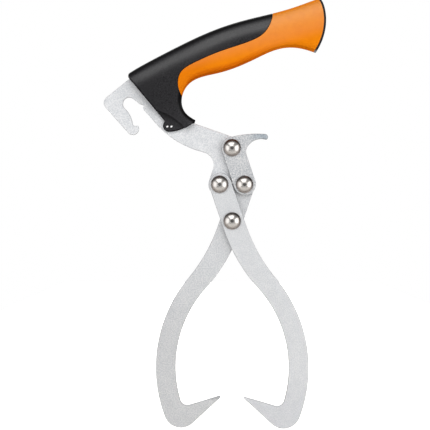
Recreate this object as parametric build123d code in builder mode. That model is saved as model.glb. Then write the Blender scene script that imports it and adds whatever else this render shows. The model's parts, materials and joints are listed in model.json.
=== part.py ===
from build123d import *
import os
from collections import namedtuple
from math import acos, atan2, cos, degrees, radians, sin, sqrt

# Log tongs: a grip moulded on a steel frame plate, which carries two claw jaws on four riveted pivots.
# Millimetres. Seen from the front, X is to the right, Z is up and Y is away from the viewer.
# The origin is the middle of the grip, straight above the pivots, where a hand lifts the load.

# Sheet steel
PLATE = 4.0  # thickness of every plate
LAYER_GAP = 0.5  # room for a spacer between the front and the back layer
EDGE_ROUND = 0.8  # tumbled edges of the blanks

# Pivots, on the corners of a rhombus that stands on its point
TOP_PIVOT_Z = -92.0
PIVOT_RISE = 65.4  # top pivot to bottom pivot
PIVOT_SPREAD = 22.2  # left pivot to right pivot
STOP_GAP = 0.7  # left open between the bars when the jaws are closed

# Bars round the pivots
JAW_NEAR = 10.6  # jaw edge towards its neighbouring bar, from the pivot line
JAW_FAR = 9.5  # jaw edge on the other side
LINK_OUTER = 10.2  # free edge of the link, from the pivot line
BAR_FAR = 10.2  # free edge of the frame plate's bar

# Jaw arms: two rings about one centre, joined to the straight bars by reversed bends
HOLLOW_CENTRE = Vector(-55.7, -288.9)
ARM_OUTER = 124.2
ARM_INNER = 106.4
BEND = 150.0
CLAW_TIP = Vector(7.9, -313.7)
CLAW_TOP_FALL = 16.8  # slope of the claw's upper edge, degrees
CLAW_LOW_FALL = 42.6  # slope of its lower edge
HEEL_ROUND = 15.5
CLAW_ROUND = 6.5
TIP_ROUND = 0.85
BEVEL_LENGTH = 17.5  # ground bevel along the claw's upper edge
BEVEL_WIDTH = 2.8
BEVEL_DEPTH = 3.2
GRIND = (26.0, 12.0, 6.0)  # block that the grinding takes off

# Rivets and washers
SHANK = 4.0  # radius
RUNNING = 0.05  # radial clearance of a turning plate
LOOSE = 0.3  # radial clearance of the link on the right rivet
HEAD_RADIUS = 7.75
HEAD_HEIGHT = 4.5
HEAD_RIM = 0.9
HEAD_SEAT = 0.1  # play under the head
TAIL_RADIUS = 6.6
TAIL_HEIGHT = 3.0
WASHER_RADIUS = 8.0
WASHER = 1.2
SPACER_RADIUS = 8.6
SPACER = 0.4

# Link with its finger spur
SPUR_START = 105  # where the spur's back leaves the round top, degrees
SPUR_RISE = 15  # its slope there
SPUR_TIP = Vector(29.4, -82.3)
SPUR_TIP_ROUND = 2.7
SPUR_TIP_BACK = 80  # the tip's round runs between these directions
SPUR_TIP_FRONT = -65
SPUR_HOLLOW = Vector(24.5, -95.9)
SPUR_HOLLOW_RADIUS = 11.6
SPUR_UNDER_ROUND = 1.2
SPUR_ROOT_ROUND = 8.0

# Frame plate
NECK_FALL = 19.3  # slope of the neck's upper edge, degrees
NECK_LENGTH = 41.0
NECK_LOW_FALL = 17.0
NECK_LOW_POINT = Vector(-25.0, -96.0)
FRONT_EDGE_TOP = Vector(-80.3, -56.4)
FRONT_EDGE_LEAN = 48.9  # slope of the plate's front edge
CHIN_ROUND = 83.0
NECK_ROUND = 11.5
THROAT = (Vector(-49.2, -34.0), Vector(-50.6, -47.0), Vector(-47.6, -59.0))  # edge inside the hand guard

# Hanging hook at the front of the frame plate
HOOK_TOP = Vector(-93.0, -30.3)
HOOK_CORNER = Vector(-117.9, -50.6)
HOOK_CORNER_ROUND = 6.0
HOOK_END = Vector(-89.3, -74.6)
HOOK_END_RADIUS = 5.6
HOOK_BEAK = 38  # direction of the beak from the middle of the hook's end
HOOK_LIP = Vector(-89.4, -69.9)
HOOK_SLOT = Vector(-92.4, -52.2)
HOOK_SLOT_RADIUS = 5.7
SLOT_LEFT = 227  # the slot's round runs between these directions
SLOT_RIGHT = 48
SHOULDER = Vector(-83.3, -52.2)
SHOULDER_ROUND = 3.0
STEP = Vector(-79.2, -53.7)
STEP_ROUND = 1.2
BEAK_ROUND = 1.2

# Tang inside the grip, with holes that the moulding fills
PLATE_TOP = Vector(-66.0, -16.0)
TANG_TOP = Vector(-40.0, -4.0)
TANG_LENGTH = 64.0
TANG_WIDTH = 15.0
TANG_NOSE = 5.0  # how far the rounded end stands out
TANG_RISE = 16.6  # slope, degrees
LOCK_HOLE = 3.5
LOCK_PITCH = 19.0
LOCK_COUNT = 3

# Two small holes through lobe and plate
TIE_CENTRE = Vector(-56.35, -72.5)
TIE_PITCH = 3.7
TIE_RADIUS = 1.2

# Handle: cross sections along the spine, each square to it
Station = namedtuple("Station", "x z slope half widest foot depth")
STATIONS = (
    Station(-99.0, -29.3, 31.5, 10.0, 18.0, 7.0, 75.0),
    Station(-72.0, -12.9, 28.5, 11.5, 19.0, 7.2, 75.0),
    Station(-41.4, 2.7, 25.5, 12.6, 19.5, 7.4, 75.0),
    Station(-16.2, 13.9, 21.0, 13.4, 19.5, 7.5, 60.0),
    Station(9.5, 22.3, 16.5, 13.6, 19.0, 8.0, 50.0),
    Station(36.4, 28.9, 14.8, 13.2, 18.0, 8.0, 48.0),
    Station(60.0, 35.9, 16.2, 13.2, 19.0, 8.5, 52.0),
    Station(90.0, 44.6, 16.5, 15.5, 23.0, 11.0, 66.0),
)
FLANK_OUT = 0.8  # the flank's shoulder, as shares of the way out and down to the widest point
FLANK_DOWN = 0.28
FLANK_LEAN = 28.0  # how far the shoulder leans off the upright, degrees

# Side outline of the handle
NOSE_TOP = Vector(-89.6, -21.9)
NOSE = Vector(-92.9, -28.8)
GUARD_NECK = Vector(-60.2, -68.2)
GUARD_MIDDLE = Vector(-37.6, -71.5)
LIP_LOW = Vector(-33.6, -68.4)
LIP_TOP = Vector(-33.0, -66.9)
LIP_PAST = Vector(-32.7, -66.1)
UNDERSIDE = (  # runs past the lip and past the butt
    Vector(-22.0, -74.0),
    LIP_TOP,
    Vector(-41.9, -60.2),
    Vector(-45.4, -47.5),
    Vector(-38.4, -33.0),
    Vector(-13.0, -23.6),
    Vector(20.7, -10.9),
    Vector(42.2, -1.8),
    Vector(55.0, -0.4),
    Vector(75.4, -5.3),
    Vector(92.0, -12.0),
)
UNDERSIDE_MIDDLE = UNDERSIDE[5]
BUTT_CENTRE = Vector(32.5, 21.1)
BUTT_RADIUS = 50.8
BUTT_LOW = -42.0  # degrees round the butt arc, past the handle's edges
BUTT_HIGH = 34.0
CAP = 2.0  # thickness of the end cap
UNDERSIDE_ROUND = 6.0
BUTT_ROUND = 0.9
FRONT_ROUND = 1.5

# Thin lobe below the crease of the hand guard
CREASE_DOWN = 38.6  # from the nose down the front edge to the crease
CREASE_MIDDLE = Vector(-53.5, -64.7)
CREASE_END = Vector(-42.3, -74.1)
LOBE_BOTTOM = Vector(-56.6, -77.4)
LOBE_END = Vector(-41.6, -73.2)
LOBE_HALF = 4.8  # half its thickness
LOBE_ROUND = 1.5
LOBE_LAP = 4.0  # how far the lobe runs on inside the handle

# Room that the cutting shapes take round the handle
WIDE = 30.0
ABOVE = 70.0
BELOW = -120.0
BEYOND = 130.0
OPEN_SIDE = (Vector(-20.0, -45.0), Vector(60.0, -30.0))  # two points below the finger side

# Soft grip over the core
SKIN = 2.2  # thickness at the sides and the top
SKIN_SHIFT = Vector(-2.2, 2.0)  # moves the underside line in to the core
SEAM = (
    Vector(36.4, 34.0),
    Vector(34.9, 20.6),
    Vector(28.2, 9.2),
    Vector(14.3, 1.4),
    Vector(-9.4, -6.6),
    Vector(-34.5, -17.3),
    Vector(-46.2, -26.2),
    Vector(-48.2, -34.5),
    Vector(-43.2, -47.5),
)
GROOVE_SHIFT = Vector(-0.35, 0.45)  # widens the soft grip's room to a narrow groove at the seam

# Hollow rear of the core, and the plug of the end cap
HOLLOW_START = Vector(38.0, 13.0)
HOLLOW_RISE = 10.0  # slope, degrees
HOLLOW_LENGTH = 60.0
HOLLOW_SIZE = (13.0, 20.0)
HOLLOW_ROUND = 5.0
PLUG_START = 33.0  # along the hollow
PLUG_LENGTH = 12.0
PLUG_PLAY = 0.15
PLUG_WALL = 1.8


def along(angle):
    """Unit vector at an angle in degrees above the X axis."""
    return Vector(cos(radians(angle)), sin(radians(angle)))


def left_of(direction):
    """Unit vector a quarter turn anticlockwise from a direction."""
    return Vector(-direction.Y, direction.X)


def crossing(point, direction, other, other_direction):
    """Where two lines cross."""
    away = other - point
    turn = direction.X * other_direction.Y - direction.Y * other_direction.X
    reach = (away.X * other_direction.Y - away.Y * other_direction.X) / turn
    return point + direction * reach


def touch_point(point, centre, radius):
    """Where a line from a point touches a circle, on the right-hand side going towards the point."""
    away = point - centre
    return centre + along(degrees(atan2(away.Y, away.X) + acos(radius / away.length))) * radius


def far_on_ring(point, direction, radius):
    """Where a ray that starts inside a ring about the hollow's centre leaves it."""
    start = point - HOLLOW_CENTRE
    nearest = start.dot(direction)
    reach = sqrt(nearest**2 - start.dot(start) + radius**2) - nearest
    return point + direction * reach


def ring_angle(point):
    """Angle of a point about the hollow's centre, in degrees."""
    away = point - HOLLOW_CENTRE
    return degrees(atan2(away.Y, away.X))


def corner_near(builder, point):
    """The sketch vertex closest to a point."""
    return builder.vertices().sort_by_distance((point.X, point.Y, 0))[0]


def face_near(builder, point):
    """The face closest to a point of the middle plane."""
    return builder.faces().sort_by_distance((point.X, 0, point.Y))[0]


def rim_edges(builder):
    """Edges of the front and the back face of a plate."""
    faces = builder.faces().sort_by(Axis.Y)
    return faces[0].edges() + faces[-1].edges()


TOP = Vector(0, TOP_PIVOT_Z)
LEFT = Vector(-PIVOT_SPREAD / 2, TOP_PIVOT_Z - PIVOT_RISE / 2)
RIGHT = Vector(PIVOT_SPREAD / 2, TOP_PIVOT_Z - PIVOT_RISE / 2)
BOTTOM = Vector(0, TOP_PIVOT_Z - PIVOT_RISE)
BAR = (BOTTOM - LEFT).normalized()  # down the right jaw and the link
BAR_SIDE = left_of(BAR)
FRAME_BAR = (LEFT - TOP).normalized()  # down the frame plate's bar
FRAME_SIDE = left_of(FRAME_BAR)
LINE_GAP = (RIGHT - BOTTOM).dot(BAR_SIDE)  # between the pivot lines of neighbouring bars
BAR_NEAR = LINE_GAP - JAW_NEAR - STOP_GAP  # link and frame edge that face a jaw
TANG_LINE = along(TANG_RISE)
TIE_SPOTS = (TIE_CENTRE - Vector(TIE_PITCH / 2, 0), TIE_CENTRE + Vector(TIE_PITCH / 2, 0))

FRONT_FACE = PLATE / 2 + LAYER_GAP  # back of the front layer, towards the viewer
BACK_LAYER = Plane.XZ.offset(-PLATE / 2)
FRONT_LAYER = Plane.XZ.offset(FRONT_FACE)
BACK_LAYER_TURNED = Plane(origin=(0, -PLATE / 2, 0), x_dir=(-1, 0, 0), z_dir=(0, 1, 0))
BEHIND = Plane.XZ.offset(-WIDE)  # the cutting shapes start here and reach twice WIDE


def bend_ends(offset, ring):
    """Ends of the reversed bend between a straight jaw edge and a ring."""
    centre = HOLLOW_CENTRE - LEFT
    sideways = offset + BEND - centre.dot(BAR_SIDE)
    reach = centre.dot(BAR) - sqrt((ring + BEND) ** 2 - sideways**2)
    start = LEFT + BAR * reach + BAR_SIDE * offset
    bend_centre = start + BAR_SIDE * BEND
    return start, HOLLOW_CENTRE + (bend_centre - HOLLOW_CENTRE).normalized() * ring


def jaw(plane, bore):
    """A claw jaw; both jaws are the same blank, one of them turned over."""
    near_top = LEFT + BAR_SIDE * JAW_NEAR
    far_top = LEFT - BAR_SIDE * JAW_FAR
    outer_bend, outer_ring = bend_ends(JAW_NEAR, ARM_OUTER)
    inner_bend, inner_ring = bend_ends(-JAW_FAR, ARM_INNER)
    heel = far_on_ring(CLAW_TIP, along(-CLAW_LOW_FALL), ARM_OUTER)
    crook = far_on_ring(CLAW_TIP, along(-CLAW_TOP_FALL), ARM_INNER)
    with BuildPart() as piece:
        with BuildSketch(plane) as blank:
            with BuildLine():
                ThreePointArc(far_top, LEFT - BAR * (JAW_NEAR + JAW_FAR) / 2, near_top)
                straight = Line(near_top, outer_bend)
                TangentArc(outer_bend, outer_ring, tangent=straight % 1)
                outer_start = ring_angle(outer_ring)
                CenterArc(HOLLOW_CENTRE, ARM_OUTER, outer_start, ring_angle(heel) - outer_start)
                Line(heel, CLAW_TIP)
                Line(CLAW_TIP, crook)
                inner_start = ring_angle(crook)
                CenterArc(HOLLOW_CENTRE, ARM_INNER, inner_start, ring_angle(inner_ring) - inner_start)
                back = Line(far_top, inner_bend)
                TangentArc(inner_bend, inner_ring, tangent=back % 1)
            make_face()
            fillet(corner_near(blank, heel), HEEL_ROUND)
            fillet(corner_near(blank, crook), CLAW_ROUND)
            fillet(corner_near(blank, CLAW_TIP), TIP_ROUND)
        extrude(amount=PLATE)
        fillet(rim_edges(piece), EDGE_ROUND)
        with BuildSketch(plane):
            with Locations(LEFT, BOTTOM):
                Circle(bore)
        extrude(amount=PLATE, mode=Mode.SUBTRACT)
        edge = along(-CLAW_TOP_FALL)
        tilt = edge / BEVEL_LENGTH - left_of(edge) / BEVEL_WIDTH
        bevel = Plane(
            origin=tuple(CLAW_TIP + edge * BEVEL_LENGTH),
            x_dir=(edge.X / BEVEL_LENGTH, edge.Y / BEVEL_LENGTH, -BEVEL_DEPTH / BEVEL_LENGTH**2),
            z_dir=(-tilt.X, -tilt.Y, -1 / BEVEL_DEPTH),
        )
        with Locations(plane.location * bevel.location):
            Box(*GRIND, align=(Align.MAX, Align.CENTER, Align.MIN), mode=Mode.SUBTRACT)
    return piece


right_jaw = jaw(FRONT_LAYER, SHANK + RUNNING)
left_jaw = jaw(BACK_LAYER_TURNED, SHANK)

# Link between the top and the right pivot, with the spur that a finger pulls
with BuildPart() as link:
    with BuildSketch(FRONT_LAYER) as blank:
        near_edge = TOP - BAR_SIDE * BAR_NEAR
        spur_start = TOP + along(SPUR_START) * BAR_NEAR
        spur_over = SPUR_TIP + along(SPUR_TIP_BACK) * SPUR_TIP_ROUND
        spur_under = SPUR_TIP + along(SPUR_TIP_FRONT) * SPUR_TIP_ROUND
        free_edge = TOP + BAR_SIDE * LINK_OUTER
        spur_root = crossing(free_edge, BAR, SPUR_HOLLOW, Vector(1, 0))
        foot_free = RIGHT + BAR_SIDE * LINK_OUTER
        foot_near = RIGHT - BAR_SIDE * BAR_NEAR
        with BuildLine():
            ThreePointArc(near_edge, TOP + (FRAME_SIDE * -1) * BAR_NEAR, spur_start)
            TangentArc(spur_start, spur_over, tangent=along(SPUR_RISE))
            tip_front = SPUR_TIP + along((SPUR_TIP_BACK + SPUR_TIP_FRONT) / 2) * SPUR_TIP_ROUND
            ThreePointArc(spur_over, tip_front, spur_under)
            hollow_top = SPUR_HOLLOW + (TOP + Vector(0, BAR_NEAR) - SPUR_HOLLOW).normalized() * SPUR_HOLLOW_RADIUS
            ThreePointArc(spur_under, hollow_top, spur_root)
            Line(spur_root, foot_free)
            ThreePointArc(foot_free, RIGHT + BAR * BAR_NEAR, foot_near)
            Line(foot_near, near_edge)
        make_face()
        fillet(corner_near(blank, spur_under), SPUR_UNDER_ROUND)
        fillet(corner_near(blank, spur_root), SPUR_ROOT_ROUND)
    extrude(amount=PLATE)
    fillet(rim_edges(link), EDGE_ROUND)
    with BuildSketch(FRONT_LAYER):
        with Locations(TOP):
            Circle(SHANK + RUNNING)
        with Locations(RIGHT):
            Circle(SHANK + LOOSE)
    extrude(amount=PLATE, mode=Mode.SUBTRACT)

# Frame plate: bar with two pivots, neck, hanging hook, and the tang inside the grip
with BuildPart() as frame_plate:
    with BuildSketch(BACK_LAYER) as blank:
        neck_line = along(-NECK_FALL)
        neck_end = TOP + left_of(neck_line) * BAR_NEAR
        neck_start = neck_end - neck_line * NECK_LENGTH
        low_line = along(-NECK_LOW_FALL)
        chin = crossing(FRONT_EDGE_TOP, along(-FRONT_EDGE_LEAN), NECK_LOW_POINT, low_line)
        bar_near_top = TOP + FRAME_SIDE * BAR_NEAR
        bar_near_foot = LEFT + FRAME_SIDE * BAR_NEAR
        bar_free = LEFT - FRAME_SIDE * BAR_FAR
        armpit = crossing(NECK_LOW_POINT, low_line, bar_free, FRAME_BAR)
        hook_turn = touch_point(HOOK_CORNER, HOOK_END, HOOK_END_RADIUS)
        beak = HOOK_END + along(HOOK_BEAK) * HOOK_END_RADIUS
        slot_left = HOOK_SLOT + along(SLOT_LEFT) * HOOK_SLOT_RADIUS
        slot_top = HOOK_SLOT + along((SLOT_LEFT + SLOT_RIGHT) / 2) * HOOK_SLOT_RADIUS
        slot_right = HOOK_SLOT + along(SLOT_RIGHT) * HOOK_SLOT_RADIUS
        tang_low = TANG_TOP - left_of(TANG_LINE) * TANG_WIDTH
        tang_reach = TANG_LINE * TANG_LENGTH
        tang_middle = (TANG_TOP + tang_low) / 2
        with BuildLine():
            Line(neck_start, neck_end)
            ThreePointArc(neck_end, TOP + along(NECK_FALL) * BAR_NEAR, bar_near_top)
            Line(bar_near_top, bar_near_foot)
            bar_foot = LEFT + FRAME_BAR * (BAR_NEAR + BAR_FAR) / 2
            ThreePointArc(bar_near_foot, bar_foot, bar_free)
            Polyline(bar_free, armpit, chin, FRONT_EDGE_TOP, STEP, SHOULDER, slot_right)
            ThreePointArc(slot_right, slot_top, slot_left)
            finger = TangentArc(slot_left, HOOK_LIP, tangent=left_of(along(SLOT_LEFT)))
            TangentArc(HOOK_LIP, beak, tangent=finger % 1)
            ThreePointArc(beak, HOOK_END + along(HOOK_BEAK - 90) * HOOK_END_RADIUS, hook_turn)
            Polyline(hook_turn, HOOK_CORNER, HOOK_TOP, PLATE_TOP, TANG_TOP, TANG_TOP + tang_reach)
            tang_nose = tang_middle + TANG_LINE * (TANG_LENGTH + TANG_NOSE)
            ThreePointArc(TANG_TOP + tang_reach, tang_nose, tang_low + tang_reach)
            Polyline(tang_low + tang_reach, tang_low, *THROAT, neck_start)
        make_face()
        fillet(corner_near(blank, chin), CHIN_ROUND)
        fillet(corner_near(blank, armpit), NECK_ROUND)
        fillet(corner_near(blank, HOOK_CORNER), HOOK_CORNER_ROUND)
        fillet(corner_near(blank, SHOULDER), SHOULDER_ROUND)
        fillet(corner_near(blank, STEP), STEP_ROUND)
        fillet(corner_near(blank, FRONT_EDGE_TOP), STEP_ROUND)
        fillet(corner_near(blank, beak), BEAK_ROUND)
    extrude(amount=PLATE)
    fillet(rim_edges(frame_plate), EDGE_ROUND)
    with BuildSketch(BACK_LAYER):
        with Locations(TOP, LEFT):
            Circle(SHANK)
        with Locations(*TIE_SPOTS):
            Circle(TIE_RADIUS)
        with Locations(*[tang_middle + TANG_LINE * LOCK_PITCH * (i + 0.5) for i in range(LOCK_COUNT)]):
            Circle(LOCK_HOLE)
    extrude(amount=PLATE, mode=Mode.SUBTRACT)


def section_plane(station):
    """Plane square to the spine at a station, with its origin on the spine."""
    lean = along(station.slope)
    return Plane(origin=(station.x, 0, station.z), x_dir=(0, 1, 0), z_dir=(lean.X, 0, lean.Y))


def grip_loft(inset):
    """The lofted handle before its side outline is cut, drawn in by an inset."""
    with BuildPart() as form:
        for station in STATIONS:
            with BuildSketch(section_plane(station)):
                crown = Vector(0, -inset)
                widest = Vector(station.half - inset, -station.widest)
                shoulder = Vector(widest.X * FLANK_OUT, crown.Y + (widest.Y - crown.Y) * FLANK_DOWN)
                foot = Vector(station.foot - inset, -station.depth)
                slopes = ((1, 0), tuple(along(FLANK_LEAN - 90)), (0, -1), tuple(foot - widest))
                with BuildLine():
                    flank = Spline(crown, shoulder, widest, foot, tangents=slopes)
                    mirror(flank, about=Plane.YZ)
                    Line(foot, Vector(-foot.X, foot.Y))
                make_face()
        loft()
    return form


def finger_side(line):
    """Everything on the fingers' side of a line of points."""
    with BuildPart() as zone:
        with BuildSketch(BEHIND):
            with BuildLine():
                Spline(*line)
                Polyline(line[-1], Vector(line[-1].X, BELOW), Vector(line[0].X, BELOW), line[0])
            make_face()
        extrude(amount=2 * WIDE)
    return zone


def butt_arc(angle, radius):
    """A point on the butt arc."""
    return BUTT_CENTRE + along(angle) * radius


front_line = (GUARD_NECK - NOSE).normalized()
crease_start = NOSE + front_line * CREASE_DOWN

# Thin lobe that covers the frame plate below the crease
with BuildPart() as lobe:
    with BuildSketch(Plane.XZ.offset(-LOBE_HALF)):
        with BuildLine():
            lobe_root = crease_start - front_line * LOBE_LAP
            Line(lobe_root, GUARD_NECK)
            TangentArc(LOBE_BOTTOM, GUARD_NECK, tangent=(-1, 0))
            TangentArc(LOBE_BOTTOM, LOBE_END, tangent=(1, 0))
            Polyline(LOBE_END, CREASE_MIDDLE + Vector(LOBE_LAP, LOBE_LAP), lobe_root)
        make_face()
    extrude(amount=2 * LOBE_HALF)
    fillet(rim_edges(lobe).filter_by(GeomType.CIRCLE), LOBE_ROUND)

# Outside of the whole handle, with the end cap
outer_loft = grip_loft(0)
outer_fingers = finger_side(UNDERSIDE)
with BuildPart() as handle_form:
    add(outer_loft.part)
    add(outer_fingers.part, mode=Mode.SUBTRACT)
    underside = face_near(handle_form, UNDERSIDE_MIDDLE)
    fillet(underside.edges().sort_by(SortBy.LENGTH)[-2:], UNDERSIDE_ROUND)
    butt_low = butt_arc(BUTT_LOW, BUTT_RADIUS)
    butt_top = butt_arc(BUTT_HIGH, BUTT_RADIUS)
    with BuildSketch(BEHIND):
        with BuildLine():
            TangentArc(NOSE_TOP, NOSE, tangent=-along(STATIONS[0].slope))
            Line(NOSE, crease_start)
            ThreePointArc(crease_start, CREASE_MIDDLE, CREASE_END)
            ThreePointArc(CREASE_END, GUARD_MIDDLE, LIP_LOW)
            Polyline(LIP_LOW, LIP_PAST, *OPEN_SIDE, butt_low)
            ThreePointArc(butt_low, butt_arc(0, BUTT_RADIUS), butt_top)
            Polyline(butt_top, Vector(butt_top.X, ABOVE), Vector(NOSE_TOP.X, ABOVE), NOSE_TOP)
        make_face()
    extrude(amount=2 * WIDE, mode=Mode.INTERSECT)
    fillet(face_near(handle_form, butt_arc(0, BUTT_RADIUS)).edges(), BUTT_ROUND)
    front_face = face_near(handle_form, (NOSE + crease_start) / 2)
    fillet(front_face.edges().sort_by(SortBy.LENGTH)[-2:], FRONT_ROUND)
    add(lobe.part)

# Core under the soft grip
core_loft = grip_loft(SKIN)
core_fingers = finger_side([point + SKIN_SHIFT for point in UNDERSIDE])
with BuildPart() as core_form:
    add(core_loft.part)
    add(core_fingers.part, mode=Mode.SUBTRACT)
    underside = face_near(core_form, UNDERSIDE_MIDDLE + SKIN_SHIFT)
    fillet(underside.edges().sort_by(SortBy.LENGTH)[-2:], UNDERSIDE_ROUND - SKIN)


def seam_zone(shift):
    """The soft grip's side of the seam, outside the core; the shift moves the seam line."""
    line = [point + shift for point in SEAM]
    with BuildPart() as zone:
        with BuildSketch(BEHIND):
            with BuildLine():
                Spline(*line)
                past_butt = Vector(BEYOND, OPEN_SIDE[0].Y)
                over_top = Vector(BEYOND, ABOVE)
                Polyline(line[-1], OPEN_SIDE[0], past_butt, over_top, Vector(line[0].X, ABOVE), line[0])
            make_face()
        extrude(amount=2 * WIDE)
        add(core_form.part, mode=Mode.SUBTRACT)
    return zone


# Room of the end cap
with BuildPart() as cap_zone:
    inner = BUTT_RADIUS - CAP
    cap_low = butt_arc(BUTT_LOW, inner)
    cap_top = butt_arc(BUTT_HIGH, inner)
    with BuildSketch(BEHIND):
        with BuildLine():
            ThreePointArc(cap_low, butt_arc(0, inner), cap_top)
            Polyline(cap_top, (BEYOND, ABOVE), (BEYOND, BELOW), cap_low)
        make_face()
    extrude(amount=2 * WIDE)

# Hard handle body, moulded round the frame plate
hollow_line = along(HOLLOW_RISE)
hollow_plane = Plane(
    origin=(HOLLOW_START.X, 0, HOLLOW_START.Y), x_dir=(0, 1, 0), z_dir=(hollow_line.X, 0, hollow_line.Y)
)
soft_room = seam_zone(GROOVE_SHIFT)
with BuildPart() as handle_shell:
    add(handle_form.part)
    add(cap_zone.part, mode=Mode.SUBTRACT)
    add(soft_room.part, mode=Mode.SUBTRACT)
    add(frame_plate.part, mode=Mode.SUBTRACT)
    with BuildSketch(hollow_plane):
        RectangleRounded(*HOLLOW_SIZE, HOLLOW_ROUND)
    extrude(amount=HOLLOW_LENGTH, mode=Mode.SUBTRACT)
    with BuildSketch(BEHIND):
        with Locations(*TIE_SPOTS):
            Circle(TIE_RADIUS)
    extrude(amount=2 * WIDE, mode=Mode.SUBTRACT)

# Soft grip moulded over the core
soft_side = seam_zone(Vector(0, 0))
with BuildPart() as soft_grip:
    add(handle_form.part)
    add(cap_zone.part, mode=Mode.SUBTRACT)
    add(soft_side.part, mode=Mode.INTERSECT)

# End cap, with a hollow plug that sits in the core
with BuildPart() as end_cap:
    add(cap_zone.part)
    with BuildSketch(hollow_plane.offset(PLUG_START)):
        plug_size = [side - 2 * PLUG_PLAY for side in HOLLOW_SIZE]
        RectangleRounded(*plug_size, HOLLOW_ROUND - PLUG_PLAY)
        bore_size = [side - 2 * PLUG_WALL for side in plug_size]
        RectangleRounded(*bore_size, HOLLOW_ROUND - PLUG_PLAY - PLUG_WALL, mode=Mode.SUBTRACT)
    extrude(amount=PLUG_LENGTH)
    add(handle_form.part, mode=Mode.INTERSECT)


def rivet(pivot):
    """A dome-headed rivet through both layers, with its tail formed over the washer."""
    head_base = -FRONT_FACE - PLATE - HEAD_SEAT
    head_top = head_base - HEAD_HEIGHT
    head_edge = Vector(HEAD_RADIUS, head_base - HEAD_RIM)
    tail_base = PLATE / 2 + WASHER
    tail_top = tail_base + TAIL_HEIGHT
    tail_edge = Vector(TAIL_RADIUS, tail_base)
    with BuildPart() as piece:
        with BuildSketch(Plane(origin=(pivot.X, 0, pivot.Y), x_dir=(1, 0, 0), z_dir=(0, 0, 1))):
            with BuildLine():
                TangentArc((0, head_top), head_edge, tangent=(1, 0))
                Polyline(head_edge, (HEAD_RADIUS, head_base), (SHANK, head_base), (SHANK, tail_base), tail_edge)
                TangentArc((0, tail_top), tail_edge, tangent=(1, 0))
                Line((0, tail_top), (0, head_top))
            make_face()
        revolve(axis=Axis((pivot.X, 0, pivot.Y), (0, 1, 0)))
    return piece


def ring(pivot, start, radius, thickness):
    """A flat ring on a rivet, from a start plane towards the viewer."""
    with BuildPart() as piece:
        with BuildSketch(Plane.XZ.offset(start)):
            with Locations(pivot):
                Circle(radius)
                Circle(SHANK, mode=Mode.SUBTRACT)
        extrude(amount=thickness)
    return piece


pieces = {
    "frame_plate": frame_plate,
    "handle_shell": handle_shell,
    "soft_grip": soft_grip,
    "end_cap": end_cap,
    "link": link,
    "right_jaw": right_jaw,
    "left_jaw": left_jaw,
}
for side, pivot in (("top", TOP), ("left", LEFT), ("right", RIGHT), ("bottom", BOTTOM)):
    pieces[side + "_rivet"] = rivet(pivot)
    pieces[side + "_spacer"] = ring(pivot, PLATE / 2, SPACER_RADIUS, SPACER)
    pieces[side + "_washer"] = ring(pivot, -PLATE / 2 - WASHER, WASHER_RADIUS, WASHER)

os.makedirs("parts", exist_ok=True)
for label, piece in pieces.items():
    piece.part.label = label
    export_step(piece.part, f"parts/{label}.step")
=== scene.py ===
"""Finishes for a pair of log tongs, with turned rivets and a small studio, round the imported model."""

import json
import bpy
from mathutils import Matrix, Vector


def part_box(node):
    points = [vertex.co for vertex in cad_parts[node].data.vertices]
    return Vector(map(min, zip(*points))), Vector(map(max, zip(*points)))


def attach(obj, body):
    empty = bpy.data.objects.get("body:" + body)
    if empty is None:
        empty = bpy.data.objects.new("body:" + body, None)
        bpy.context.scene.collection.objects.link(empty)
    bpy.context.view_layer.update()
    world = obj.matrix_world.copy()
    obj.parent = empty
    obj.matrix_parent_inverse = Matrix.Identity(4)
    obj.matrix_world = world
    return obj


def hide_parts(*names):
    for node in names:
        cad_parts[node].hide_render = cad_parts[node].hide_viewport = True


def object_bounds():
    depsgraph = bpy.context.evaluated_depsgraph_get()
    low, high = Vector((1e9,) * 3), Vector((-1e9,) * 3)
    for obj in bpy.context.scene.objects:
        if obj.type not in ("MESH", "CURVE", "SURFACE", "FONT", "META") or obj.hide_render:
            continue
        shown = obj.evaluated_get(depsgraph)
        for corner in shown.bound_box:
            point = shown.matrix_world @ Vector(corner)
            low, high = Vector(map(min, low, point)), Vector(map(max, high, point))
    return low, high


bl_info = {
    "name": "Log tongs",
    "version": (1, 0, 0),
    "blender": (4, 5, 0),
    "location": "3D View > Sidebar > Log tongs",
    "description": "Dresses a pair of log tongs and sets up its studio",
    "category": "Object",
}

from math import asin, pi
from typing import NamedTuple

import bmesh
import bpy
from bpy.props import FloatProperty, FloatVectorProperty, IntProperty, PointerProperty
from mathutils import Vector

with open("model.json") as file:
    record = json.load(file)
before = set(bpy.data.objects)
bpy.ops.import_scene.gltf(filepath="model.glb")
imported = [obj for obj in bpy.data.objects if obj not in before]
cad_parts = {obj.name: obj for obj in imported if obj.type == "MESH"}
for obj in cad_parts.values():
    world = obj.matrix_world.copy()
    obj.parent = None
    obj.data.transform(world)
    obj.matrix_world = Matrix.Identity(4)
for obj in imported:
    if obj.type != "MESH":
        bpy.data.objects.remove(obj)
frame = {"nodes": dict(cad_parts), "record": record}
CAD_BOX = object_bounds()

SIDES = ("top", "left", "right", "bottom")
RIGHT = Vector((1, 0, 0))
AWAY = Vector((0, 1, 0))
UP = Vector((0, 0, 1))
DOWN = Vector((0, 0, -1))
WHITE = (1.0, 1.0, 1.0, 1.0)

# Directions square to three slopes of the handle: the grip's own, the palm's polish and the orange sheen
GRIP_UP = Vector((-0.454, 0, 0.891))
PALM_UP = Vector((-0.334, 0, 0.891))
SHEEN_UP = Vector((-0.236, 0, 0.891))

# Shares of a normal along Y between which a face turns into a side, a rim or a cut edge
SIDE_TURN = (0.25, 0.75)
RIM_TURN = (0.76, 0.95)
CUT_TURN = (0.5, 0.95)

# Shares of a normal along Z over which a cut edge turns up and keeps the face's colour, as painted light
# from above
LIT_EDGE_RISE = (0.35, 0.85)

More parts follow.
